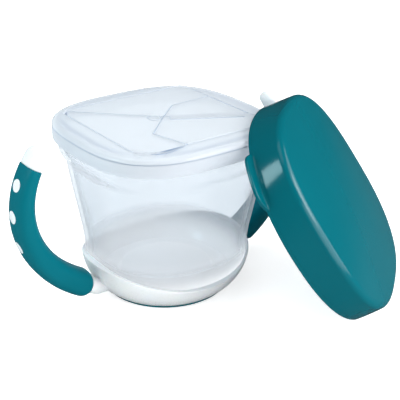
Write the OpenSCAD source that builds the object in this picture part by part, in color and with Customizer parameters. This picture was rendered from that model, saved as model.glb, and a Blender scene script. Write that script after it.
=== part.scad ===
/* [Cup] */
// Width of the cup's mouth across its flat sides
mouth_w = 90; // [86:0.5:94]
// Width of the cup across its flat sides just above the handle ring
foot_w = 76.4; // [73:0.2:80]
// Height of the cup's rim above the table
rim_z = 82.1; // [78:0.1:90]
// Wall of the cup
cup_wall = 1.8; // [1.4:0.1:2.2]
// Depth of the wide collar under the rim
collar_h = 13; // [9:0.5:16]
// Height of the cone that narrows the collar to the body
cone_h = 4; // [3:0.5:7]
// Step in from the collar to the body on each side
collar_step = 3.1; // [2:0.1:4]
// Radius of the raised disc in the cup's floor
punt_r = 23; // [18:0.5:26]
// Height of the raised disc above the floor around it
punt_h = 2; // [1:0.1:3]

/* [Handle ring] */
// Rim of the ring beyond the cup's rounded corners
ring_lip = 1.2; // [1:0.05:2]
// Radius of the ring's foot
ring_foot_r = 31.5; // [29:0.5:34]
// Height of the ring's edge at the front and the back
ring_low_z = 12.2; // [11:0.1:16]
// Height of the ring's edge above each handle
ring_high_z = 20.4; // [18:0.1:26]
// Thickness of the ring's floor
ring_floor = 2.4; // [2:0.1:3]
// Width of the handles' core
core_w = 12.5; // [10:0.5:14]
// Thickness of the handles' core
core_t = 5.2; // [4.5:0.1:5.6]
// Height at which the handles leave the ring
root_z = 7.2; // [6:0.1:9]
// Thickness of the handles' roots, between the ring and the grips
root_t = 8; // [6:0.1:9]
// How far the handles' curve runs out low down
sweep_x = 68.4; // [64:0.1:72]
// Height of that low sweep
sweep_z = 18.3; // [16:0.1:21]
// How far the handles' curve swings out
belly_x = 85.5; // [82:0.1:89]
// Height at which it swings out the furthest
belly_z = 51.9; // [47:0.1:56]
// Distance of the handles' tips from the cup's axis
tip_x = 65.4; // [63:0.1:68]
// Height of the handles' tips
tip_z = 79.7; // [76:0.1:83]

/* [Grips] */
// Width of the grips
grip_w = 14.8; // [14:0.1:17]
// Thickness of the grips at their upper ends
grip_t = 6.9; // [6.6:0.1:8]
// Extra thickness of the grips at their lower ends
grip_swell = 5.8; // [4:0.1:7]
// Thickness of the rounded white head above each grip
head_t = 6.7; // [6:0.1:7.6]
// Width of that head
head_w = 14.2; // [13:0.1:16]
// Height of that head's dome
head_h = 4.9; // [4:0.1:6.5]
// Radius of the pads that show through the grips
pad_r = 3; // [2:0.1:3.4]

/* [Base] */
// Thickness of the non-slip base
base_t = 2; // [1.6:0.1:2.6]
// How far the base stands out below the ring
base_proud = 0.9; // [0.6:0.1:1.2]

/* [Lid] */
// Wall of the lid's skirt
skirt_wall = 1.8; // [1.4:0.1:2.2]
// Depth of the lid's skirt over the cup's collar
skirt_h = 7; // [5:0.25:8]
// Thickness of the lid's top
lid_t = 2; // [1.8:0.1:2.6]
// Fall of the lid's four edge facets
lid_fall = 0.7; // [0.4:0.1:1]
// Radius of the lid's outer edge
lid_edge = 1.2; // [0.8:0.1:1.6]
// Width of the edge facets at the middle of each side
facet_w = 11; // [9:0.5:14]
// Thickness of the flaps
flap_t = 1.3; // [1.1:0.1:1.6]
// Width of the slits between the flaps
slit = 0.5; // [0.4:0.05:0.7]
// Radius of the small holes that end the slits
stop_r = 0.7; // [0.5:0.05:0.9]
// Place where the front slit leaves the front edge, right of the centre
front_slit_x = -11.5; // [-14:0.5:-9]
// Distance of the front slit's bend from both centre lines
bend = 16.3; // [15:0.1:18]
// Place where the lip slit meets the right edge, behind the centre
lip_slit_y = -20; // [-22:0.5:-16]
// Place where the back slit meets the right edge, behind the centre
back_slit_y = 12.5; // [11:0.5:16]
// Distance of the back slit's bend right of the centre
back_bend_x = 13; // [11:0.5:15]
// Bow of the left flap's open front edge
bow = 2.6; // [1:0.1:3]
// Width of the raised lip along the front flap
lip_w = 5; // [3:0.5:6]
// Height of the raised lip
lip_h = 0.5; // [0.3:0.1:0.8]

/* [Overcap] */
// Room between the lid and the overcap's skirt on each flat side
cap_room = 4.3; // [3.8:0.1:5]
// Wall of the overcap
cap_wall = 1.3; // [1.2:0.1:1.8]
// Depth of the overcap's skirt
cap_h = 16.6; // [15:0.1:19]
// Taper of the skirt on each side
cap_taper = 2.4; // [1.5:0.1:3]
// Radius of the edge between the skirt and the top
cap_edge = 3.4; // [2.4:0.1:4]
// Rise of the overcap's domed top
cap_dome = 2.3; // [1.5:0.1:4]
// Reach of the pull tab beyond the rim
tab_out = 5.6; // [3:0.1:7]
// Thickness of the pull tab
tab_t = 1.6; // [1.2:0.1:2.2]
// How far the overcap's rim hooks in over the lid's corner
hook = 10; // [8:0.1:12]
// Height of the overcap's rim above the lid's top, where it leans over it
hook_rise = 2.3; // [1.4:0.1:3]

/* [Hidden] */

// Roundness of the outlines: 2 is a circle, and higher values are squarer
square_n = 2.96;
foot_n = 2.3;
cap_rim_n = 2.22;
cap_top_n = 2.68;
grip_n = 2.6;

// Gaps between pieces that come apart, and between pieces that stay together
free_gap = 0.35;
fixed_gap = 0.05;
seat_gap = 0.15;

// Steps around the outlines and along the handles
around = 72;
across = 16;
along = 16;

// Cup
mouth_half = mouth_w / 2;
foot_half = foot_w / 2;
body_half = mouth_half - collar_step;
foot_top_z = 24;
seat_z = base_proud + ring_floor + fixed_gap;
foot_levels = [0, 0.06, 0.18, 0.35, 0.62];
rim_round = 0.5;
collar_z = rim_z - collar_h;
body_top_z = collar_z - cone_h;
sole_half = ring_foot_r - 1;
inner_half = mouth_half - cup_wall;

// Ring
ring_r = corner_r(foot_half, foot_n) + ring_lip;
ring_mean_z = (ring_high_z + ring_low_z) / 2;
ring_wave = (ring_high_z - ring_low_z) / 2;
ring_round = 0.4;
seat_shares = [0, 0.03, 0.08, 0.16, 0.28, 0.45, 0.7, 1];
base_inset = 0.3;
base_r = ring_foot_r - base_inset;
base_edge = 0.4;

// Handle curve, as distance from the axis and height, and places along it as shares of its length
root_depth = 2.6;
root_end = 1.2;
root_back = -0.02;
root_full = 0.095;
root_thin = 0.103;
core_places = concat([root_thin], [for (i = [2 : along]) i / along]);
curve = [[ring_out(root_z) - root_depth, root_z], [sweep_x, sweep_z], [belly_x, belly_z], [tip_x, tip_z]];
grip_start = 0.106;
grip_end = 0.952;
grip_round_end = 0.035;
grip_taper = 1.7;
grip_cover = 0.7;
pad_places = [0.55, 0.71, 0.858];
pad_low = 0.04;

// Lid
lid_half = mouth_half + free_gap + skirt_wall;
lid_under_z = rim_z + free_gap;
lid_top_z = lid_under_z + lid_t;
skirt_z = rim_z - skirt_h;
crease_half = lid_half - facet_w;
crease_land = 0.6;
opening_half = crease_half - crease_land;
hinge_r = flap_t / 2;
hinge_at = opening_half - free_gap - hinge_r;
hinge_z = lid_top_z - hinge_r;
flap_room = 1.2;
flap_half = inner_half - flap_room;
flap_relief = 0.6;
bow_relief = 1.5;
bead_inset = 0.2;
bead_land = 0.4;
gate = [-4.6, 1];
gate_r = 3.4;
gate_line = 0.8;
gate_depth = 0.3;
lip_from = 3;
lip_to = 4;

// Overcap, standing on its side and hooked over the lid's front right corner
cap_half = lid_half + cap_room + cap_wall;
cap_turn = -51.8;
cap_lean = acos((lid_top_z + hook_rise) / (2 * cap_half - cap_wall));
cap_stand = 0.15;
cap_side = -2.4;
corner = corner_r(lid_half, square_n) / sqrt(2);
cap_back = cap_half * sin(cap_lean) - hook;
cap_x = corner + cap_back * cos(cap_turn) - cap_side * sin(cap_turn);
cap_y = -corner + cap_back * sin(cap_turn) + cap_side * cos(cap_turn);
cap_z = cap_half * cos(cap_lean) + cap_stand;
cap_top_half = cap_half - cap_taper;
tab_angle = 140;
tab_span = 28;
tab_blunt = 5;

// Radius of a rounded square of half width a and roundness n in the direction t
function reach(a, n, t) = a / pow(pow(abs(cos(t)), n) + pow(abs(sin(t)), n), 1 / n);

// Radius of that rounded square at its corners
function corner_r(a, n) = reach(a, n, 45);

// Outline of a rounded square at height z
function outline(a, n, z, count = around) =
    [for (i = [0 : count - 1]) let (t = 360 * i / count, r = reach(a, n, t)) [r * cos(t), r * sin(t), z]];

function mix(a, b, f) = a + (b - a) * f;

// Value between 0 and 1 that eases from a to b
function ease(a, b, v) = let (f = min(1, max(0, (v - a) / (b - a)))) f * f * (3 - 2 * f);

// Solid through rings of points that all have the same count
module loft(rings) {
    n = len(rings[0]);
    last = len(rings) - 1;
    points = [for (ring = rings) each ring];
    sides = [for (k = [0 : last - 1], i = [0 : n - 1]) let (a = k * n + i, b = k * n + (i + 1) % n)
        each [[a, a + n, b], [b, a + n, b + n]]];
    ends = [[for (i = [0 : n - 1]) i], [for (i = [n - 1 : -1 : 0]) last * n + i]];
    polyhedron(points, concat(sides, ends), convexity = 6);
}

// Half width and roundness of the cup's outside at height z
function cup_n(z) = mix(foot_n, square_n, ease(foot_top_z, body_top_z, z));

function cup_half(z) =
    z < foot_top_z ? foot_half - (foot_half - sole_half) * pow(1 - (z - seat_z) / (foot_top_z - seat_z), 3) :
    z < body_top_z ? mix(foot_half, body_half, (z - foot_top_z) / (body_top_z - foot_top_z)) :
    z < collar_z ? mix(body_half, mouth_half, (z - body_top_z) / cone_h) : mouth_half;

function cup_ring(z, inset = 0) = outline(cup_half(z) - inset, cup_n(z), z);

// Clear rounded square tumbler with a wide collar and a raised disc in its floor
module cup() {
    heights = concat([for (f = foot_levels) mix(seat_z, foot_top_z, f)],
        [foot_top_z, (foot_top_z + body_top_z) / 2, body_top_z, collar_z]);
    inner_floor = seat_z + cup_wall;
    slant = punt_h * 0.35;
    color("aliceblue", 0.4) loft(concat(
        [outline(punt_r - slant, 2, seat_z + punt_h), outline(punt_r + slant, 2, seat_z)],
        [for (z = heights) cup_ring(z)],
        [outline(mouth_half, square_n, rim_z - rim_round), outline(mouth_half - rim_round, square_n, rim_z),
         outline(inner_half + rim_round, square_n, rim_z), outline(inner_half, square_n, rim_z - rim_round)],
        [for (i = [len(heights) - 1 : -1 : 2]) cup_ring(heights[i], cup_wall)],
        [outline(sole_half - 1, 2, inner_floor), outline(punt_r + slant, 2, inner_floor),
         outline(punt_r - slant, 2, inner_floor + punt_h)]));
}

// Radius of the ring's outside at height z, and height of its edge in the direction t
function ring_out(z) = let (f = min(1, max(0, (ring_high_z - z) / (ring_high_z - base_proud))))
    ring_foot_r + (ring_r - ring_foot_r) * sqrt(1 - f * f);

function ring_edge(t) = ring_mean_z + ring_wave * cos(2 * t);

// Ring of points on the ring's outside, a share s of the way from the foot to the edge
function ring_row(s) = [for (i = [0 : around - 1]) let (
    t = 360 * i / around, z = mix(base_proud, ring_edge(t) - ring_round, s), r = ring_out(z))
    [r * cos(t), r * sin(t), z]];

// Ring of points on the ring's inside, which follows the cup
function seat_row(s, grow = 0) = [for (i = [0 : around - 1]) let (
    t = 360 * i / around, z = mix(seat_z - fixed_gap, ring_edge(t), s),
    r = reach(cup_half(max(z, seat_z)), cup_n(z), t) + seat_gap + grow)
    [r * cos(t), r * sin(t), z]];

// Low cradle around the cup's foot, with its edge rising to the handles
module cradle() {
    loft(concat(
        [for (s = [0, 0.05, 0.12, 0.22, 0.36, 0.55, 0.78, 1]) ring_row(s)],
        [for (i = [len(seat_shares) - 1 : -1 : 0]) seat_row(seat_shares[i])]));
}

// Room that keeps the handles' roots out of the cup, so that they end inside the cradle's wall
module root_room() {
    loft(concat([for (s = [0, 0.25, 0.6, 1]) seat_row(s, root_end)],
        [[for (p = seat_row(1, root_end)) [p[0], p[1], ring_high_z + 1]]]));
}

// Point of the handle curve at t, and the unit vector across it, away from the cup
function bezier(p, t) = pow(1 - t, 3) * p[0] + 3 * pow(1 - t, 2) * t * p[1]
    + 3 * (1 - t) * t * t * p[2] + pow(t, 3) * p[3];

function slope(p, t) = pow(1 - t, 2) * (p[1] - p[0]) + 2 * (1 - t) * t * (p[2] - p[1]) + t * t * (p[3] - p[2]);

function outward(t) = let (d = slope(curve, t)) [d[1], -d[0]] / norm(d);

// Section of the handle at t, of thickness 2a and width 2b
function section(t, a, b, n) = [for (i = [0 : across - 1]) let (
    f = 360 * i / across, r = reach(1, n, f), c = bezier(curve, t) + outward(t) * a * r * cos(f))
    [c[0], b * r * sin(f), c[1]]];

// Half thickness of the grip at t, which tapers from its lower end to its upper end
function grip_half(t) = let (f = max(0, (t - grip_start) / (grip_end - grip_start)))
    (grip_t + grip_swell * (1 - pow(f, grip_taper))) / 2;

// Share of its full size that the grip has at t, near its rounded lower end
function grip_round(t) = let (f = min(1, (t - grip_start) / grip_round_end)) sqrt(1 - pow(1 - f, 2));

// White core of one handle, from its thick root in the cradle to its free tip
module core() {
    roots = [for (t = [root_back, root_full / 2, root_full]) section(t, root_t / 2, core_w / 2, grip_n)];
    loft(concat(roots, [for (t = core_places) section(t, core_t / 2, core_w / 2, grip_n)]));
    head();
    for (t = pad_places) pad(t, pad_r, grip_half(t) - pad_low);
}

// Section of the head, pushed out along the curve's end by a turn f of its domed tip
function head_section(f) = let (d = slope(curve, 1) / norm(slope(curve, 1)))
    [for (p = section(1, head_t / 2 * cos(f), head_w / 2 * cos(f), grip_n)) p + [d[0], 0, d[1]] * head_h * sin(f)];

// Domed free end of the core, nearly as thick as the grip
module head() {
    loft(concat(
        [for (t = [grip_end + 0.003, 1]) section(t, head_t / 2, head_w / 2, grip_n)],
        [for (f = [20, 40, 58, 74, 85]) head_section(f)]));
}

// Round pad on the outer face of the handle at t
module pad(t, r, h) {
    c = bezier(curve, t);
    o = outward(t);
    translate([c[0], 0, c[1]]) rotate([0, 90 - atan2(o[1], o[0]), 0]) cylinder(r = r, h = h, $fn = 24);
}

// White cradle with a handle core on each side
module handle_ring() {
    color("white") difference() {
        union() {
            cradle();
            difference() {
                for (side = [0, 1]) mirror([side, 0, 0]) core();
                root_room();
            }
        }
        translate([0, 0, -1]) cylinder(r = base_r + fixed_gap, h = base_t + fixed_gap + 1, $fn = 96);
    }
}

// Soft sleeve over one handle core, with holes for the pads
module grip() {
    step = (grip_end - grip_start) / along;
    rounds = [0.05, 0.25, 0.6, 1];
    places = concat([for (f = rounds) grip_start + grip_round_end * f], [for (i = [2 : along]) grip_start + i * step]);
    color("teal") difference() {
        loft([for (t = places) section(t, mix(core_t / 2 + grip_cover, grip_half(t), grip_round(t)),
            mix(core_w / 2 + grip_cover, grip_w / 2, grip_round(t)), grip_n)]);
        loft([for (t = concat([0], core_places)) section(t, core_t / 2 + fixed_gap, core_w / 2 + fixed_gap, grip_n)]);
        for (t = pad_places) pad(t, pad_r + fixed_gap, grip_half(t) + 2);
    }
}

module grip_left() {
    mirror([1, 0, 0]) grip();
}

module grip_right() {
    grip();
}

// Soft pad set into the cradle's underside
module non_slip_base() {
    color("teal") rotate_extrude($fn = 96)
        polygon([[0, 0], [base_r - base_edge, 0], [base_r, base_edge], [base_r, base_t], [0, base_t]]);
}

// Square crease on the lid's top, with its corners kept inside the rim
function crease_ring(half, z) = [for (i = [0 : around - 1]) let (
    t = 360 * i / around,
    r = min(half / max(abs(cos(t)), abs(sin(t))), reach(lid_half - lid_edge, square_n, t) - 0.5))
    [r * cos(t), r * sin(t), z]];

// Flat outline of a rounded square
module mouth(a) {
    polygon([for (p = outline(a, square_n, 0)) [p[0], p[1]]]);
}

// Opening for the flaps, with the bowed open edge at its front left
module opening(grow) {
    intersection() {
        mouth(flap_half + grow);
        union() {
            square(2 * (opening_half - free_gap + grow), center = true);
            bowed_edge(grow);
        }
    }
}

module bowed_edge(grow) {
    half = opening_half - free_gap;
    left = -half - grow;
    right = front_slit_x + grow;
    polygon(concat([[right, 0], [left, 0]],
        [for (i = [0 : 12]) let (f = i / 12) [mix(left, right, f), -half - grow - 4 * bow * f * (1 - f)]]));
}

// Soft lid with a skirt over the collar, four edge facets and the opening for the flaps
module lid_frame() {
    rim_top_z = lid_top_z - lid_fall;
    color("lightcyan", 0.7) difference() {
        loft(concat(
            [outline(lid_half - skirt_wall, square_n, lid_under_z), outline(lid_half - skirt_wall, square_n, skirt_z),
             outline(lid_half, square_n, skirt_z)],
            [for (f = [0 : 30 : 90]) outline(lid_half - lid_edge * (1 - cos(f)), square_n,
                rim_top_z - lid_edge * (1 - sin(f)))],
            [crease_ring(crease_half, lid_top_z), outline(punt_r, 2, lid_top_z)]));
        translate([0, 0, lid_under_z - 1]) linear_extrude(lid_t + 2) opening(free_gap);
        translate([0, 0, lid_under_z - 1]) linear_extrude(lid_t) mouth(inner_half);
    }
}

// Corners of the slit pattern, seen from above
knot = [0, 0];
front_slit = [front_slit_x, -crease_half];
front_bend = [-bend, -bend];
lip_slit = [crease_half, lip_slit_y];
back_slit = [crease_half, back_slit_y];
back_bend = [back_bend_x, back_slit_y - 1];
far_left = [-crease_half, crease_half];
far_right = [crease_half, crease_half];
near_left = [-crease_half, -crease_half - bow - 1];
near_right = [crease_half, -crease_half];

left_area = [near_left, [front_slit_x, -crease_half - bow - 1], front_slit, front_bend, knot, far_left];
back_area = [far_left, knot, back_bend, back_slit, far_right];
front_area = [front_slit, front_bend, knot, lip_slit, near_right];
right_area = [lip_slit, knot, back_bend, back_slit];

// Cuts along the slits and round stops at their ends
module slits() {
    for (path = [[front_slit, front_bend, knot], [knot, far_left], [knot, lip_slit], [knot, back_bend, back_slit]])
        for (i = [0 : len(path) - 2]) cut(path[i], path[i + 1]);
    for (p = [front_slit + [0, 2.2], lip_slit - [1.8, -1], back_slit - [1.8, 0]])
        translate(p) circle(r = stop_r, $fn = 24);
}

module cut(a, b) {
    d = b - a;
    translate(a) rotate(atan2(d[1], d[0])) translate([-slit / 2, -slit / 2]) square([norm(d) + slit, slit]);
}

// One flap: its share of the opening, cut back from its hinge, with a round hinge bead
// The flap's hinge lies on the side of the opening that turn brings to the left
module flap(area, turn, from, to, relief = flap_relief) {
    translate([0, 0, lid_top_z - flap_t]) linear_extrude(flap_t) difference() {
        intersection() {
            polygon(area);
            opening(0);
            mouth(flap_half - relief);
        }
        slits();
        rotate(turn) translate([-hinge_at - lid_half, -lid_half]) square([lid_half, 2 * lid_half]);
    }
    rotate(turn) translate([-hinge_at, from, hinge_z]) rotate([-90, 0, 0])
        cylinder(r = hinge_r, h = to - from, $fn = 32);
}

// Half length of a hinge that stays inside the rounded opening
function hinge_half(relief) = let (a = flap_half - relief)
    a * pow(1 - pow(hinge_at / a, square_n), 1 / square_n) - bead_inset;

bead_gap = slit / 2 + bead_land;

module flap_left() {
    color("azure", 0.7) difference() {
        flap(left_area, 0, -hinge_half(bow_relief), hinge_half(bow_relief) - slit, bow_relief);
        translate([gate[0], gate[1], lid_top_z - gate_depth]) difference() {
            cylinder(r = gate_r, h = 1, $fn = 40);
            cylinder(r = gate_r - gate_line, h = 1, $fn = 40);
        }
    }
}

module flap_back() {
    color("azure", 0.7) flap(back_area, -90, -hinge_half(flap_relief) + slit, hinge_half(flap_relief));
}

module flap_front() {
    d = lip_slit - knot;
    color("azure", 0.7) {
        flap(front_area, 90, -hinge_half(flap_relief), -front_slit_x - bead_gap);
        translate([0, 0, lid_top_z - 0.1]) linear_extrude(lip_h + 0.1) intersection() {
            translate(knot) rotate(atan2(d[1], d[0])) translate([lip_from, -slit / 2 - lip_w])
                square([norm(d) - lip_from - lip_to, lip_w]);
            polygon(front_area);
        }
    }
}

module flap_right() {
    color("azure", 0.7) flap(right_area, 180, -back_slit_y + bead_gap, -lip_slit_y * hinge_at / crease_half - bead_gap);
}

// Half width and roundness of the overcap's outside at depth w above its rim
function cap_ring(w, inset = 0) = let (f = w / (cap_h - cap_edge))
    outline(cap_half - cap_taper * f - inset, mix(cap_rim_n, cap_top_n, f), w);

// Outline of the rounded edge, a turn f from the skirt to the top
function edge_ring(f, r, inset) = outline(cap_top_half - inset - r * (1 - cos(f)), cap_top_n,
    cap_h - cap_edge + r * sin(f));

function dome_ring(s, inset) = outline((cap_top_half - cap_edge) * s, cap_top_n, cap_h - inset + cap_dome * (1 - s * s));

// Glossy cap with a domed top and a pull tab at one corner of its rim
module overcap() {
    skirt_top = cap_h - cap_edge;
    turns = [0, 25, 55, 90];
    domes = [0.8, 0.5, 0.2];
    color("darkcyan") translate([cap_x, cap_y, cap_z]) rotate([0, 90 - cap_lean, cap_turn]) rotate(90) {
        loft(concat(
            [for (i = [len(domes) - 1 : -1 : 0]) dome_ring(domes[i], cap_wall)],
            [for (i = [len(turns) - 1 : -1 : 0]) edge_ring(turns[i], cap_edge - cap_wall, cap_wall)],
            [cap_ring(skirt_top / 2, cap_wall), cap_ring(0, cap_wall), cap_ring(0), cap_ring(skirt_top / 2)],
            [for (f = turns) edge_ring(f, cap_edge, 0)],
            [for (s = domes) dome_ring(s, 0)]));
        tab();
    }
}

// Crescent at the rim that a finger pulls on
module tab() {
    half = tab_span / 2;
    steps = 16;
    outer = [for (i = [0 : steps]) let (t = tab_angle + half * (2 * i / steps - 1), s = 2 * i / steps - 1,
        r = reach(cap_half, cap_rim_n, t) + tab_out * (1 - pow(abs(s), tab_blunt))) [r * cos(t), r * sin(t)]];
    inner = [for (i = [steps : -1 : 0]) let (t = tab_angle + half * (2 * i / steps - 1),
        r = reach(cap_half, cap_rim_n, t) - cap_wall / 2) [r * cos(t), r * sin(t)]];
    linear_extrude(tab_t) polygon(concat(outer, inner));
}

cup();
handle_ring();
grip_left();
grip_right();
non_slip_base();
lid_frame();
flap_left();
flap_back();
flap_front();
flap_right();
overcap();
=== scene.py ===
import math

import bmesh
import bpy
from mathutils import Matrix, Vector


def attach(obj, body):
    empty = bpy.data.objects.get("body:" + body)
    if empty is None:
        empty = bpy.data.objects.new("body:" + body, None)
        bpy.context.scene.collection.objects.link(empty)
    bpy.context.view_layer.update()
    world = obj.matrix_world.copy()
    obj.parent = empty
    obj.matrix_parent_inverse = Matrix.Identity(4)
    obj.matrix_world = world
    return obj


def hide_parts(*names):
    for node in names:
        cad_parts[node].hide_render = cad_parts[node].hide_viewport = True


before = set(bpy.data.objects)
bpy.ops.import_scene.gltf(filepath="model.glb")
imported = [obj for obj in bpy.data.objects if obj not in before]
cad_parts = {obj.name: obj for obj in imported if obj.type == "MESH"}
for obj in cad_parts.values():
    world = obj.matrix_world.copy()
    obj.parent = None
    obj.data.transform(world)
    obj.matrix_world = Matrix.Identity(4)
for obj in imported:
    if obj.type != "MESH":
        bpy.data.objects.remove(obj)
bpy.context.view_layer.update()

scene = bpy.context.scene
scene.view_settings.view_transform = "Standard"

# Working values are millimetres, as in the CAD model, and each finished mesh is brought to metres
toMetres = 0.001
fullTurn = 2 * math.pi
fixedGap = 0.05  # clearance between pieces that are fixed to each other
mergeReach = 0.0001  # points of a loft that are nearer than this become one
sharpAngle = 40  # degrees past which an edge is shaded sharp


# Shape helpers

def mix(a, b, share):
    return a + (b - a) * share


def ease(a, b, value):  # 0 up to a, 1 from b on, and a soft rise between them
    share = min(1, max(0, (value - a) / (b - a)))
    return share * share * (3 - 2 * share)


def reach(half, roundness, angle):  # radius of a rounded square; 2 is a circle, higher is squarer
    total = abs(math.cos(angle)) ** roundness + abs(math.sin(angle)) ** roundness
    return half / total ** (1 / roundness)


def around(radius, angle, z):
    return Vector((radius * math.cos(angle), radius * math.sin(angle), z))


# A row of a loft gives its point in every direction
def squareRow(half, roundness, z):
    return lambda angle: around(reach(half, roundness, angle), angle, z)


def roundRow(radius, z):
    return squareRow(radius, 2, z)


def pole(z):
    return lambda angle: Vector((0, 0, z))


# Points on an arc between two directions in degrees, for a rounded edge
def arc(centre, radius, start, end, count):
    turns = [math.radians(mix(start, end, i / (count - 1))) for i in range(count)]
    return [(centre[0] + radius * math.cos(a), centre[1] + radius * math.sin(a)) for a in turns]


# A line of points is spun into a tube, and each row of the tube then takes its own outline
def lofted(rows, steps, closed=False):
    bm = bmesh.new()
    verts = [bm.verts.new((1, 0, k)) for k in range(len(rows))]
    edges = [bm.edges.new(pair) for pair in zip(verts, verts[1:])]
    if closed:
        edges.append(bm.edges.new((verts[-1], verts[0])))
    bmesh.ops.spin(bm, geom=verts + edges, cent=(0, 0, 0), axis=(0, 0, 1), angle=fullTurn, steps=steps,
                   use_merge=True)
    for vert in bm.verts:
        step = round(math.atan2(vert.co.y, vert.co.x) / fullTurn * steps) % steps
        vert.co = rows[round(vert.co.z)](fullTurn * step / steps)
    bmesh.ops.remove_doubles(bm, verts=bm.verts, dist=mergeReach)
    bmesh.ops.recalc_face_normals(bm, faces=bm.faces)
    return bm


def madeObject(bm, name, material):
    mesh = bpy.data.meshes.new(name)
    bm.to_mesh(mesh)
    bm.free()
    mesh.materials.append(material)
    made = bpy.data.objects.new(name, mesh)
    scene.collection.objects.link(made)
    return made


def finished(bm, name, body, slot, replaced=(), place=None):  # place only turns and moves, never mirrors
    if place:
        bm.transform(place)
    bm.transform(Matrix.Scale(toMetres, 4))
    for face in bm.faces:
        face.smooth = True
    for edge in bm.edges:
        if len(edge.link_faces) == 2 and edge.calc_face_angle(0) > math.radians(sharpAngle):
            edge.smooth = False
    piece = madeObject(bm, name, finishes[slot])
    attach(piece, body)
    if replaced:
        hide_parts(*replaced)


# Material helpers

def linear(red, green, blue):  # an 8 bit colour as the shader wants it
    parts = [c / 255 for c in (red, green, blue)]
    return tuple(c / 12.92 if c <= 0.04045 else ((c + 0.055) / 1.055) ** 2.4 for c in parts) + (1,)


def grey(level):
    return (level, level, level, 1)


def setInputs(tree, node, inputs):  # each takes a plain value, or a link from another node's output
    for socket, value in inputs.items():
        if isinstance(value, bpy.types.NodeSocket):
            tree.links.new(value, node.inputs[socket])
        else:
            node.inputs[socket].default_value = value


def addNode(tree, kind, inputs=None, **settings):
    node = tree.nodes.new(kind)
    for setting, value in settings.items():
        setattr(node, setting, value)
    setInputs(tree, node, inputs or {})
    return node


def mathNode(tree, operation, first, second):
    return addNode(tree, "ShaderNodeMath", {0: first, 1: second}, operation=operation).outputs[0]


def rangeNode(tree, value, inputs, **settings):
    return addNode(tree, "ShaderNodeMapRange", {"Value": value, **inputs}, **settings).outputs["Result"]


def mixShaders(tree, share, first, second):
    return addNode(tree, "ShaderNodeMixShader", {"Fac": share, 1: first, 2: second}).outputs[0]


def newMaterial(name, inputs):
    material = bpy.data.materials.new(name)
    material.use_nodes = True
    shader = material.node_tree.nodes["Principled BSDF"]
    setInputs(material.node_tree, shader, inputs)
    return material, shader


# Colour, roughness and bump that vary a little over a moulded surface. Grain is in waves per metre
def mouldedDetail(material, shader, colours, roughness, grain, bump):
    tree = material.node_tree
    place = addNode(tree, "ShaderNodeTexCoord").outputs["Object"]
    broad = addNode(tree, "ShaderNodeTexNoise", {"Vector": place, "Scale": 38, "Detail": 3})
    fine = addNode(tree, "ShaderNodeTexNoise",
                   {"Vector": place, "Scale": grain, "Detail": 4, "Roughness": 0.6})
    tint = addNode(tree, "ShaderNodeMix", {"Factor": broad.outputs["Fac"], "A": linear(*colours[0]),
                                           "B": linear(*colours[1])}, data_type="RGBA")
    gloss = rangeNode(tree, fine.outputs["Fac"], {"From Min": 0.35, "From Max": 0.65,
                                                  "To Min": roughness[0], "To Max": roughness[1]})
    relief = addNode(tree, "ShaderNodeBump", {"Height": fine.outputs["Fac"], "Strength": 1,
                                              "Distance": bump * toMetres})
    setInputs(tree, shader, {"Base Color": tint.outputs["Result"], "Roughness": gloss,
                             "Normal": relief.outputs["Normal"]})


# Towards the cup's thick foot the wall turns milky, and a painted glow lightens it there: an emission that
# grows stronger towards the bottom
def milkyFootAndPaintedGlow(tree, shader, share, foot):
    place = addNode(tree, "ShaderNodeTexCoord").outputs["Object"]
    height = addNode(tree, "ShaderNodeSeparateXYZ", {"Vector": place}).outputs["Z"]
    clearZ, milkyZ, dimZ, brightZ = [foot[key] * toMetres for key in ("clearZ", "milkyZ", "dimZ", "brightZ")]
    milk = rangeNode(tree, height, {"From Min": clearZ, "From Max": milkyZ, "To Max": foot["milk"]},
                     interpolation_type="SMOOTHSTEP")
    paintedGlow = rangeNode(tree, height, {"From Min": dimZ, "From Max": brightZ, "To Min": foot["dim"],
                                    "To Max": foot["bright"]})
    # Painted glow: emission that lightens the milky foot, brighter towards the bottom
    setInputs(tree, shader, {"Emission Color": linear(*foot["paintedGlow"]),
                             "Emission Strength": mathNode(tree, "MULTIPLY", milk, paintedGlow)})
    return mathNode(tree, "MAXIMUM", share, milk)


# A thin wall: part of each ray goes straight on, and less of it where the wall is seen edge on.
# Rays that bring light pass more easily, so that what is inside is lit
def thinWall(material, shader, tint, milk, facing, edgeOn, dimming, foot=None):
    tree = material.node_tree
    through = addNode(tree, "ShaderNodeBsdfTransparent", {"Color": linear(*tint)})
    scattered = addNode(tree, "ShaderNodeBsdfTranslucent", {"Color": linear(*tint)})
    milky = mixShaders(tree, milk, shader.outputs[0], scattered.outputs[0])
    angle = addNode(tree, "ShaderNodeLayerWeight", {"Blend": 0.5})
    share = rangeNode(tree, angle.outputs["Facing"], {"From Min": 0.45, "To Min": facing, "To Max": edgeOn},
                      interpolation_type="SMOOTHSTEP")
    if foot:
        share = milkyFootAndPaintedGlow(tree, shader, share, foot)
    rays = addNode(tree, "ShaderNodeLightPath")
    lighting = mathNode(tree, "MAXIMUM", rays.outputs["Is Shadow Ray"], rays.outputs["Is Diffuse Ray"])
    stopped = rangeNode(tree, lighting, {"To Min": 1, "To Max": dimming})
    wall = mixShaders(tree, mathNode(tree, "MULTIPLY", share, stopped), through.outputs[0], milky)
    setInputs(tree, tree.nodes["Material Output"], {"Surface": wall})


# Painted shade: narrow gaps, such as the slits between the flaps, hold less light than the faces beside
# them, so a dull colour is mixed in where ambient occlusion finds them
def paintShadeInGaps(material, colour, width, most):
    tree = material.node_tree
    output = tree.nodes["Material Output"]
    surface = output.inputs["Surface"].links[0].from_socket
    near = addNode(tree, "ShaderNodeAmbientOcclusion", {"Distance": width * toMetres}, samples=8)
    share = rangeNode(tree, near.outputs["AO"],
                      {"From Min": 0.35, "From Max": 0.9, "To Min": most, "To Max": 0})
    dim = addNode(tree, "ShaderNodeBsdfDiffuse", {"Color": linear(*colour)})
    setInputs(tree, output, {"Surface": mixShaders(tree, share, surface, dim.outputs[0])})


# Materials

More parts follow.
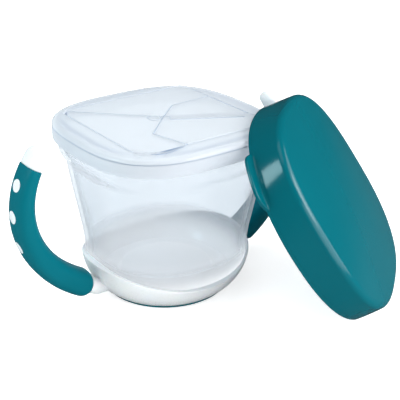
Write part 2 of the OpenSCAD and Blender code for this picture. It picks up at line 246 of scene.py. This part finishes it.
clear = {"shader": {"IOR": 1.5},
         "detail": {"colours": ((156, 160, 166), (162, 166, 172)), "roughness": (0.06, 0.1), "grain": 400,
                    "bump": 0.002},
         "wall": {"tint": (246, 248, 250), "milk": 0.4, "facing": 0.2, "edgeOn": 0.6, "dimming": 0.06},
         # foot: where the wall turns milky, and the painted glow (emission) laid over it, stronger lower
         # down
         "foot": {"clearZ": 30, "milkyZ": 12, "milk": 0.72, "dimZ": 18, "brightZ": 9, "dim": 0.75,
                  "bright": 1.5, "paintedGlow": (251, 248, 244)}}


def clearPlastic():
    material, shader = newMaterial("clear_cup_plastic", clear["shader"])
    mouldedDetail(material, shader, **clear["detail"])
    thinWall(material, shader, **clear["wall"], foot=clear["foot"])
    return material


frosted = {"shader": {"IOR": 1.45},
           "detail": {"colours": ((212, 215, 219), (216, 219, 222)), "roughness": (0.12, 0.18),
                      "grain": 1400, "bump": 0.002},
           "wall": {"tint": (243, 245, 248), "milk": 0.4, "facing": 0.6, "edgeOn": 0.85, "dimming": 0.12},
           # the painted shade in the slits: its colour, the reach of the occlusion, and its greatest share
           "paintedGapShade": {"colour": (150, 166, 188), "width": 0.8, "most": 0.6}}


def frostedLid():
    material, shader = newMaterial("frosted_soft_lid", frosted["shader"])
    mouldedDetail(material, shader, **frosted["detail"])
    thinWall(material, shader, **frosted["wall"])
    paintShadeInGaps(material, **frosted["paintedGapShade"])
    return material


teal = {"shader": {"IOR": 1.49, "Specular IOR Level": 0.36},
        "detail": {"colours": ((0, 85, 96), (0, 89, 100)), "roughness": (0.12, 0.18), "grain": 1600,
                   "bump": 0.006}}


def glossyTeal():
    material, shader = newMaterial("glossy_teal_plastic", teal["shader"])
    mouldedDetail(material, shader, **teal["detail"])
    return material


softGrip = {"shader": {"IOR": 1.45, "Specular IOR Level": 0.08},
            "detail": {"colours": ((0, 97, 110), (0, 103, 116)), "roughness": (0.34, 0.44), "grain": 2200,
                       "bump": 0.02}}


def softTeal():
    material, shader = newMaterial("soft_teal_grip", softGrip["shader"])
    mouldedDetail(material, shader, **softGrip["detail"])
    return material


white = {"shader": {"IOR": 1.46, "Subsurface Weight": 0.1, "Subsurface Scale": 0.002},
         "detail": {"colours": ((231, 233, 235), (235, 237, 239)), "roughness": (0.26, 0.36), "grain": 1500,
                    "bump": 0.008}}


def whitePlastic():
    material, shader = newMaterial("white_ring_plastic", white["shader"])
    mouldedDetail(material, shader, **white["detail"])
    return material


finishes = {"clear_plastic": clearPlastic(), "soft_clear": frostedLid(), "gloss_teal": glossyTeal(),
            "soft_teal": softTeal(), "white_plastic": whitePlastic()}
print("scene: materials are made")


# Cup: a clear tumbler with a wide collar and a raised disc in its floor

cup = {"mouthHalf": 45, "footHalf": 38.2, "bodyHalf": 41.9, "soleHalf": 30.5, "wall": 1.8,
       "seatZ": 3.35, "footTopZ": 24, "bodyTopZ": 63.1, "collarZ": 70.6, "rimZ": 82.1, "rimEdge": 0.5,
       "discR": 23, "discH": 2, "discMiddleR": 12, "discWiden": 0.2, "floorR": 27,
       "discEdge": ((-1.2, 0), (-0.6, -0.2)), "discFoot": ((0.4, 0.2), (1, 0)),  # each out, up
       "squareness": 2.96, "footSquareness": 2.3, "footRows": 14, "footCrowding": 1.5, "collarRows": 12,
       "rimRows": 4, "bodyRowZ": (24, 31, 38, 45, 52, 58, 61.5), "topRowZ": (72.5, 76), "steps": 180}


def cupHalf(z):
    if z < cup["footTopZ"]:
        depth = 1 - (z - cup["seatZ"]) / (cup["footTopZ"] - cup["seatZ"])
        return cup["footHalf"] - (cup["footHalf"] - cup["soleHalf"]) * depth ** 3
    if z < cup["bodyTopZ"]:
        height = (z - cup["footTopZ"]) / (cup["bodyTopZ"] - cup["footTopZ"])
        return mix(cup["footHalf"], cup["bodyHalf"], height)
    if z < cup["collarZ"]:
        return mix(cup["bodyHalf"], cup["mouthHalf"], ease(cup["bodyTopZ"], cup["collarZ"], z))
    return cup["mouthHalf"]


def cupSquareness(z):
    return mix(cup["footSquareness"], cup["squareness"], ease(cup["footTopZ"], cup["bodyTopZ"], z))


def cupRow(z, inset=0):
    return squareRow(cupHalf(z) - inset, cupSquareness(z), z)


def floorRows(lift, widen):  # from the middle of the raised disc, over its rounded edge, to the flat floor
    low, radius = cup["seatZ"], cup["discR"] + widen
    high = low + cup["discH"]
    line = [(cup["discMiddleR"], high)]
    line += [(radius + out, high + up) for out, up in cup["discEdge"]]
    line += [(radius + out, low + up) for out, up in cup["discFoot"]]
    line.append((cup["floorR"], low))
    return [pole(high + lift)] + [roundRow(r, z + lift) for r, z in line]


def makeCup():
    wall, rim, edge, rimRows = [cup[key] for key in ("wall", "rimZ", "rimEdge", "rimRows")]
    footShares = [(i / cup["footRows"]) ** cup["footCrowding"] for i in range(cup["footRows"])]
    collarShares = [i / cup["collarRows"] for i in range(cup["collarRows"] + 1)]
    heights = [mix(cup["seatZ"], cup["footTopZ"], share) for share in footShares]
    heights += cup["bodyRowZ"]
    heights += [mix(cup["bodyTopZ"], cup["collarZ"], share) for share in collarShares]
    heights += cup["topRowZ"]
    rimLine = arc((cup["mouthHalf"] - edge, rim - edge), edge, 0, 90, rimRows)
    rimLine += arc((cup["mouthHalf"] - wall + edge, rim - edge), edge, 90, 180, rimRows)
    rows = floorRows(0, 0)
    rows += [cupRow(z) for z in heights]
    rows += [squareRow(r, cup["squareness"], z) for r, z in rimLine]
    rows += [cupRow(z, wall) for z in reversed(heights) if z > cup["seatZ"] + wall]
    rows += reversed(floorRows(wall, cup["discWiden"]))
    finished(lofted(rows, cup["steps"]), "cup_body", "base_body", "clear_plastic", ["cup"])


makeCup()
print("scene: the cup is made")


# Cradle ring round the cup's foot, with its edge rising to the handles, and the non-slip base under it

cradle = {"topR": 41.3, "footR": 31.5, "lowZ": 12.2, "highZ": 20.4, "bottomZ": 1.3, "recessR": 31.25,
          "recessTop": 2.05, "seatGap": 0.15, "fullness": 0.86, "edge": 0.45, "edgeBlunt": 0.6,
          "edgeDrop": 0.1, "edgeShares": (0.15, 0.35, 0.6, 0.85), "outerRows": 16, "innerRows": 14,
          "crowding": 1.4, "steps": 180}


def cradleOut(z):  # radius of the bowl's outside, part of an ellipse
    fall = min(1, max(0, (cradle["highZ"] - z) / (cradle["highZ"] - cradle["bottomZ"])))
    depth, foot = cradle["fullness"] * fall, math.sqrt(1 - cradle["fullness"] ** 2)
    return mix(cradle["footR"], cradle["topR"], (math.sqrt(1 - depth * depth) - foot) / (1 - foot))


def cradleEdge(angle):  # height of the ring's edge
    middle, swing = (cradle["highZ"] + cradle["lowZ"]) / 2, (cradle["highZ"] - cradle["lowZ"]) / 2
    return middle + swing * math.cos(2 * angle)


def outerRow(share):
    def place(angle):
        z = mix(cradle["bottomZ"], cradleEdge(angle) - cradle["edge"], share)
        return around(cradleOut(z), angle, z)
    return place


def innerRow(share):
    def place(angle):
        z = mix(cup["seatZ"] - fixedGap, cradleEdge(angle) - cradle["edgeDrop"], share)
        level = max(z, cup["seatZ"])
        return around(reach(cupHalf(level), cupSquareness(level), angle) + cradle["seatGap"], angle, z)
    return place


def edgeRow(share):  # rounds the ring's upper edge from outside to inside
    def place(angle):
        outer, inner = outerRow(1)(angle), innerRow(1)(angle)
        point = outer.lerp(inner, (1 - math.cos(math.pi * share)) / 2)
        rise = math.sin(math.pi * share) ** cradle["edgeBlunt"]
        point.z = cradleEdge(angle) - cradle["edge"] + cradle["edge"] * rise
        return point
    return place


def makeCradle():
    outer, inner = cradle["outerRows"], cradle["innerRows"]
    rows = [pole(cradle["recessTop"]), roundRow(cradle["recessR"], cradle["recessTop"]),
            roundRow(cradle["recessR"], cradle["bottomZ"])]
    rows += [outerRow((i / outer) ** cradle["crowding"]) for i in range(outer + 1)]
    rows += [edgeRow(share) for share in cradle["edgeShares"]]
    rows += [innerRow((1 - i / inner) ** cradle["crowding"]) for i in range(inner + 1)]
    rows.append(pole(cup["seatZ"] - fixedGap))
    finished(lofted(rows, cradle["steps"]), "cradle_ring", "base_body", "white_plastic", ["handle_ring"])


base = {"radius": 31.1, "height": 2, "edge": 0.35, "edgeRows": 6, "flatR": 28.1, "steps": 180}


def makeBase():
    radius, edge = base["radius"], base["edge"]
    line = arc((radius - edge, edge), edge, -90, 0, base["edgeRows"])
    rows = [pole(0), roundRow(base["flatR"], 0)] + [roundRow(r, z) for r, z in line]
    rows += [roundRow(radius, base["height"]), pole(base["height"])]
    finished(lofted(rows, base["steps"]), "non_slip_foot", "base_body", "soft_teal", ["non_slip_base"])


makeCradle()
makeBase()
print("scene: the cradle and its base are made")


# Handles: a white core with a round head, and a soft grip with white pads on each.
# Places along a handle are shares of its curve, from the cradle to the head

handle = {"curve": [(36.02, 7.2), (68.4, 18.3), (85.5, 51.9), (65.4, 79.7)], "roundness": 2.6}

grip = {"thick": 6.9, "wide": 14.8, "swell": 5.8, "taper": 1.7, "start": 0.106, "end": 0.952, "lip": 0.5,
        "startRound": 0.035, "endRound": 0.004, "endEdge": ((-0.001, 0.1), (0, 0.35)),  # each along, in
        "startRows": 8, "outerRows": 48, "innerRows": 24, "steps": 64}

core = {"thick": 5.2, "wide": 12.5, "rootThick": 8, "seatAt": 0.03, "offCup": 1.2,
        "rootRowAt": (0.045, 0.06, 0.075), "rootEnd": 0.095, "afterRoot": 0.008,
        "rootEdge": ((-0.006, 0, 0), (-0.002, 0.15, 0.05), (0, 0.5, 0.2)),  # each along, thinner, narrower
        "beforeHead": 0.004, "headThick": 6.7, "headWide": 14.2, "headHigh": 4.9,
        "headEdge": ((0.001, 0.3), (0.003, 0.1), (0.007, 0), (0.02, 0), (0.033, 0)),  # each along, in
        "headTurns": (10, 20, 30, 40, 50, 60, 70, 78, 85), "rows": 40, "steps": 48}

pad = {"at": (0.55, 0.71, 0.858), "radius": 3, "root": -2, "top": 0.18,
       "edge": ((0, -0.15), (0.1, 0.02), (0.4, 0.1), (1.6, 0.16)), "steps": 48}  # edge is each in, up


def curvePoint(t):
    p = handle["curve"]
    weights = ((1 - t) ** 3, 3 * (1 - t) ** 2 * t, 3 * (1 - t) * t * t, t ** 3)
    return Vector([sum(w * q[k] for w, q in zip(weights, p)) for k in (0, 1)])


def curveSlope(t):
    p = [Vector(q) for q in handle["curve"]]
    slope = (1 - t) ** 2 * (p[1] - p[0]) + 2 * (1 - t) * t * (p[2] - p[1]) + t * t * (p[3] - p[2])
    return slope.normalized()


def section(t, halfT, halfW, shift=0):  # row across the handle at t
    centre, slope = curvePoint(t), curveSlope(t)

    def place(angle):
        r = reach(1, handle["roundness"], angle)
        point = centre + Vector((slope.y, -slope.x)) * halfT * r * math.cos(angle) + slope * shift
        return Vector((point.x, halfW * r * math.sin(angle), point.y))
    return place


def seatedIn(row):  # a row pushed in until it ends inside the cradle's wall
    def place(angle):
        point = row(angle)
        level = max(point.z, cup["seatZ"])
        turn = math.atan2(point.y, point.x)
        wall = reach(cupHalf(level), cupSquareness(level), turn) + core["offCup"]
        return Vector((wall * math.cos(turn), wall * math.sin(turn), point.z))
    return place


def gripHalf(t):  # half the grip's thickness, which swells towards its lower end
    share = max(0, (t - grip["start"]) / (grip["end"] - grip["start"]))
    return (grip["thick"] + grip["swell"] * (1 - share ** grip["taper"])) / 2


def makeCore(name, turned):
    thick, wide = core["thick"] / 2, core["wide"] / 2
    rootThick, rootEnd = core["rootThick"] / 2, core["rootEnd"]
    headThick, headWide = core["headThick"] / 2, core["headWide"] / 2
    first, last = rootEnd + core["afterRoot"], grip["end"] - core["beforeHead"]
    rows = [seatedIn(section(core["seatAt"], share * rootThick, share * wide)) for share in (0, 0.5, 1)]
    rows += [section(t, rootThick, wide) for t in core["rootRowAt"]]
    rows += [section(rootEnd + more, rootThick - thinner, wide - narrower)
             for more, thinner, narrower in core["rootEdge"]]
    rows += [section(mix(first, last, i / core["rows"]), thick, wide) for i in range(core["rows"] + 1)]
    rows += [section(grip["end"] + more, headThick - inset, headWide - inset)
             for more, inset in core["headEdge"]]
    for turn in core["headTurns"]:
        shrink, rise = math.cos(math.radians(turn)), math.sin(math.radians(turn))
        rows.append(section(1, headThick * shrink, headWide * shrink, core["headHigh"] * rise))
    rows.append(section(1, 0, 0, core["headHigh"]))
    finished(lofted(rows, core["steps"]), name, "base_body", "white_plastic", [], turned)


def makeGrip(name, node, turned):
    start, end, wide = grip["start"], grip["end"], grip["wide"] / 2
    boreThick, boreWide = core["thick"] / 2 + fixedGap, core["wide"] / 2 + fixedGap
    rows = []
    for i in range(grip["startRows"] + 1):  # rounded lower end
        turn = math.radians(90 * i / grip["startRows"])
        t = start + grip["startRound"] * (1 - math.cos(turn))
        rows.append(section(t, mix(boreThick + grip["lip"], gripHalf(t), math.sin(turn)),
                            mix(boreWide + grip["lip"], wide, math.sin(turn))))
    for i in range(1, grip["outerRows"] + 1):
        t = mix(start + grip["startRound"], end - grip["endRound"], i / grip["outerRows"])
        rows.append(section(t, gripHalf(t), wide))
    rows += [section(end + more, gripHalf(end) - inset, wide - inset) for more, inset in grip["endEdge"]]
    rows += [section(mix(end, start, i / grip["innerRows"]), boreThick, boreWide)
             for i in range(grip["innerRows"] + 1)]
    finished(lofted(rows, grip["steps"], closed=True), name, "base_body", "soft_teal", [node], turned)


def makePads(name, turned):
    radius, root = pad["radius"], pad["root"]
    rows = [pole(root), roundRow(radius, root)]
    rows += [roundRow(radius - inset, z) for inset, z in pad["edge"]]
    rows.append(pole(pad["top"]))
    whole = bmesh.new()
    for t in pad["at"]:
        slope, centre = curveSlope(t), curvePoint(t)
        normal = Vector((slope.y, 0, -slope.x))
        spot = Vector((centre.x, 0, centre.y)) + normal * gripHalf(t)
        one = lofted(rows, pad["steps"])
        one.transform(Matrix.Translation(spot) @ normal.to_track_quat("Z", "Y").to_matrix().to_4x4())
        mesh = bpy.data.meshes.new("pad")
        one.to_mesh(mesh)
        one.free()
        whole.from_mesh(mesh)
        bpy.data.meshes.remove(mesh)
    finished(whole, name, "base_body", "white_plastic", [], turned)


for side, turned in (("right", None), ("left", Matrix.Rotation(math.pi, 4, "Z"))):
    makeCore("handle_core_" + side, turned)
    makeGrip("soft_grip_" + side, "grip_" + side, turned)
    makePads("grip_pads_" + side, turned)
print("scene: the handles are made")


# Lid: a soft skirt over the collar, four edge facets and the opening for the flaps.
# A step count that 8 divides puts a point in each corner of the opening

lid = {"half": 47.15, "skirtWall": 1.8, "skirtZ": 75.1, "skirtRows": 4, "skirtInside": 0.3,
       "skirtEdge": ((0, 0.4), (0.12, 0.12), (0.4, 0)),  # each in, up
       "underZ": 82.45, "underHalf": 43.2, "ledge": 1, "topZ": 84.45, "fall": 0.7, "edge": 2.6,
       "edgeRows": 8, "creaseHalf": 36.15, "creaseGap": 0.5, "openingHalf": 35.55, "flapReach": 42.35,
       "openingEdge": ((0.25, 0), (0.07, 0.07), (0, 0.25)),  # each down, out
       "bowFrom": -35.55, "bowTo": -11.15, "bow": 2.95, "bowTries": 12, "steps": 240}


def openingReach(angle):
    c, s = math.cos(angle), math.sin(angle)
    flat = lid["openingHalf"] / max(abs(c), abs(s))
    if s < 0 and lid["bowFrom"] < flat * c < lid["bowTo"] and abs(s) >= abs(c):
        for attempt in range(lid["bowTries"]):  # the bow's depth depends on where this direction meets it
            share = min(1, max(0, (flat * c - lid["bowFrom"]) / (lid["bowTo"] - lid["bowFrom"])))
            flat = (lid["openingHalf"] + 4 * lid["bow"] * share * (1 - share)) / abs(s)
    return min(flat, reach(lid["flapReach"], cup["squareness"], angle))


def openingRow(z, outset=0):
    return lambda angle: around(openingReach(angle) + outset, angle, z)


def creaseRow(z):  # where the flat top meets the facets
    def place(angle):
        flat = lid["creaseHalf"] / max(abs(math.cos(angle)), abs(math.sin(angle)))
        most = reach(lid["half"] - lid["edge"], cup["squareness"], angle) - lid["creaseGap"]
        return around(min(flat, most), angle, z)
    return place


def makeLid():
    half, top, bottom, under, edge = [lid[key] for key in ("half", "topZ", "skirtZ", "underZ", "edge")]
    rim, ledge, inside = top - lid["fall"], under + lid["ledge"], half - lid["skirtWall"]
    count, bevel, squareness = lid["skirtRows"], lid["skirtInside"], cup["squareness"]
    line = [(inside + bevel, bottom), (inside, bottom + bevel)]
    line += [(inside, mix(bottom, under, i / count)) for i in range(1, count + 1)]
    line += [(lid["underHalf"], under), (lid["underHalf"], ledge)]
    rows = [squareRow(r, squareness, z) for r, z in line]
    rows.append(openingRow(ledge))
    rows += [openingRow(top - fall, outset) for fall, outset in lid["openingEdge"]]
    rows.append(creaseRow(top))
    line = arc((half - edge, rim - edge), edge, 90, 0, lid["edgeRows"])
    line += [(half, mix(rim, bottom, i / count)) for i in range(1, count)]
    line += [(half - inset, bottom + up) for inset, up in lid["skirtEdge"]]
    rows += [squareRow(r, squareness, z) for r, z in line]
    finished(lofted(rows, lid["steps"], closed=True), "lid_frame_soft", "lid", "soft_clear", ["lid_frame"])


makeLid()
print("scene: the lid is made")


# Overcap: a glossy cap with a domed top and a pull tab, leaning against the lid's corner.
# Its rows go up from the rim along its own axis, w

overcap = {"half": 52.75, "wall": 1.3, "depth": 16.6, "taper": 2.4, "edge": 3.4, "dome": 2.3,
           "rimSquareness": 2.22, "topSquareness": 2.68, "edgeRows": 12, "insideRows": 8,
           "domeShares": (0.97, 0.9, 0.8, 0.68, 0.55, 0.42, 0.3, 0.18, 0.08),
           "innerShares": (0.8, 0.6, 0.4, 0.2, 0.03), "outerShares": (0.25, 0.4, 0.6, 0.8),
           "rimInside": ((0.08, 0.1), (0, 0.35)),  # each up, out from the inner wall
           "rimOutside": ((0, 0.4), (0.12, 0.12), (0.4, 0)),  # each up, in from the tab's edge
           "tabAngle": 140, "tabSpan": 28, "tabOut": 5.6, "tabBlunt": 5, "tabThick": 1.6,
           "tabTop": ((-0.4, 0, 1), (-0.12, 0.05, 0.97), (0, 0.02, 0.88), (0.05, 0, 0.3), (0.3, 0, 0.08),
                      (0.9, 0, 0)),  # each up, in, share of the tab
           "place": (47.3074, -53.8964, 44.0661), "lean": 33.6401, "turn": -51.8, "steps": 240}


def capRow(w, inset=0, tab=0):  # tab is how much of the pull tab the row has, from 0 to 1
    share = w / (overcap["depth"] - overcap["edge"])
    half = overcap["half"] - overcap["taper"] * share
    roundness = mix(overcap["rimSquareness"], overcap["topSquareness"], share)

    def place(angle):
        away = (math.degrees(angle) - overcap["tabAngle"] + 180) % 360 - 180
        swell = max(0, 1 - abs(2 * away / overcap["tabSpan"]) ** overcap["tabBlunt"]) * overcap["tabOut"]
        return around(reach(half, roundness, angle) - inset + swell * tab, angle, w)
    return place


def domeRow(share, inset=0):
    flat = overcap["half"] - overcap["taper"] - overcap["edge"]
    w = overcap["depth"] - inset + overcap["dome"] * (1 - share * share)
    return squareRow(flat * share, overcap["topSquareness"], w)


def capEdge(radius, start, end, count):  # the round edge between the skirt and the dome
    centre = (overcap["half"] - overcap["taper"] - overcap["edge"], overcap["depth"] - overcap["edge"])
    line = arc(centre, radius, start, end, count)
    return [squareRow(r, overcap["topSquareness"], w) for r, w in line]


def makeOvercap():
    depth, edge, wall, dome = [overcap[key] for key in ("depth", "edge", "wall", "dome")]
    skirtTop, tabThick = depth - edge, overcap["tabThick"]
    rows = [pole(depth - wall + dome)]
    rows += [domeRow(share, wall) for share in reversed(overcap["domeShares"])]
    rows += capEdge(edge - wall, 90, 0, overcap["insideRows"])
    rows += [capRow(skirtTop * share, wall) for share in overcap["innerShares"]]
    rows += [capRow(w, wall - more) for w, more in overcap["rimInside"]]
    rows += [capRow(w, inset, 1) for w, inset in overcap["rimOutside"]]
    rows += [capRow(tabThick + more, inset, tab) for more, inset, tab in overcap["tabTop"]]
    rows += [capRow(skirtTop * share) for share in overcap["outerShares"]]
    rows += capEdge(edge, 0, 90, overcap["edgeRows"])
    rows += [domeRow(share) for share in overcap["domeShares"]]
    rows.append(pole(depth + dome))
    place = (Matrix.Translation(Vector(overcap["place"]))
             @ Matrix.Rotation(math.radians(overcap["turn"]), 4, "Z")
             @ Matrix.Rotation(math.radians(90 - overcap["lean"]), 4, "Y")
             @ Matrix.Rotation(math.radians(90), 4, "Z"))
    finished(lofted(rows, overcap["steps"]), "overcap_shell", "overcap", "gloss_teal", ["overcap"], place)


makeOvercap()
print("scene: the overcap is made")


# Carried over nodes: the flaps get rounded edges and the lid's finish

flap = {"nodes": ("flap_left", "flap_back", "flap_front", "flap_right"), "edge": 0.28, "edgeRows": 3,
        "bevelFrom": 35, "weld": 0.001}


def dressFlap(node):
    piece = bpy.data.objects[node]
    piece.data.materials.clear()
    piece.data.materials.append(finishes["soft_clear"])
    weld = piece.modifiers.new("weld", "WELD")
    weld.merge_threshold = flap["weld"] * toMetres
    bevel = piece.modifiers.new("rounded_edges", "BEVEL")
    bevel.width = flap["edge"] * toMetres
    bevel.segments = flap["edgeRows"]
    bevel.limit_method = "ANGLE"
    bevel.angle_limit = math.radians(flap["bevelFrom"])


for node in flap["nodes"]:
    dressFlap(node)
print("scene: the carried over flaps are dressed")


# Stage, lamps and camera, placed in metres. The floor and the world are white where they are seen

stage = {"floorHalf": 3, "floorRoughness": 0.9, "floor": 0.8, "floorInGloss": 0.05, "floorGlow": 0.66,
         "world": 0.8, "worldInGloss": 0.03, "worldSeen": 1}


def makeFloor():
    material, shader = newMaterial("white_floor", {"Roughness": stage["floorRoughness"],
                                                   "Emission Color": grey(1)})
    tree = material.node_tree
    rays = addNode(tree, "ShaderNodeLightPath")
    tone = addNode(tree, "ShaderNodeMix", {"Factor": rays.outputs["Is Glossy Ray"],
                                           "A": grey(stage["floor"]), "B": grey(stage["floorInGloss"])},
                   data_type="RGBA")
    seen = mathNode(tree, "MAXIMUM", rays.outputs["Is Camera Ray"], rays.outputs["Is Transmission Ray"])
    setInputs(tree, shader, {"Base Color": tone.outputs["Result"],
                             "Emission Strength": mathNode(tree, "MULTIPLY", seen, stage["floorGlow"])})
    bm = bmesh.new()
    bmesh.ops.create_grid(bm, x_segments=4, y_segments=4, size=stage["floorHalf"])
    madeObject(bm, "floor", material)


def makeWorld():
    world = bpy.data.worlds.new("studio")
    scene.world = world
    world.use_nodes = True
    tree = world.node_tree
    rays = addNode(tree, "ShaderNodeLightPath")
    strength = stage["world"]
    for ray, level in (("Is Glossy Ray", stage["worldInGloss"]), ("Is Transmission Ray", stage["worldSeen"]),
                       ("Is Camera Ray", stage["worldSeen"])):
        strength = rangeNode(tree, rays.outputs[ray], {"To Min": strength, "To Max": level})
    setInputs(tree, tree.nodes["Background"], {"Color": grey(1), "Strength": strength})


lamps = {"key": {"spot": (0.5, -0.7, 0.6), "aim": (0.03, -0.03, 0.04), "size": 0.5, "power": 4.6},
         "top": {"spot": (-0.2, 0.1, 1), "aim": (0, 0, 0.04), "size": 0.6, "power": 1},
         "front": {"spot": (0.02, -0.98, 0.24), "aim": (0, 0, 0.03), "size": 0.6, "power": 2.2},
         "cap": {"spot": (0.227, -0.283, 0.238), "aim": (0.047, -0.054, 0.044), "size": 0.4, "power": 1.3},
         "window": {"spot": (-0.47, 0.13, 0.36), "aim": (0.01, -0.06, 0.07), "size": 0.2, "power": 1.25,
                    "colour": (0.7, 0.97, 1)}}


def makeLamp(name, spot, aim, size, power, colour=(1, 1, 1)):
    light = bpy.data.lights.new(name, "AREA")
    light.shape = "SQUARE"
    light.size = size
    light.energy = power
    light.color = colour
    lamp = bpy.data.objects.new(name, light)
    lamp.location = spot
    lamp.rotation_euler = (Vector(aim) - Vector(spot)).to_track_quat("-Z", "Y").to_euler()
    scene.collection.objects.link(lamp)


view = {"spot": (-0.2093, -0.3159, 0.2168), "right": (0.808, -0.589, 0), "up": (0.247, 0.339, 0.908),
        "back": (-0.535, -0.733, 0.4195), "lens": 77.45, "sensor": 36}


def makeCamera():
    lens = bpy.data.cameras.new("camera")
    lens.sensor_width = view["sensor"]
    lens.lens = view["lens"]
    camera = bpy.data.objects.new("camera", lens)
    turn = Matrix([view[key] for key in ("right", "up", "back")]).transposed().to_4x4()
    camera.matrix_world = Matrix.Translation(Vector(view["spot"])) @ turn
    scene.collection.objects.link(camera)
    scene.camera = camera


makeFloor()
makeWorld()
for name, values in lamps.items():
    makeLamp(name, **values)
makeCamera()
print("scene: the stage, the lamps and the camera are set")
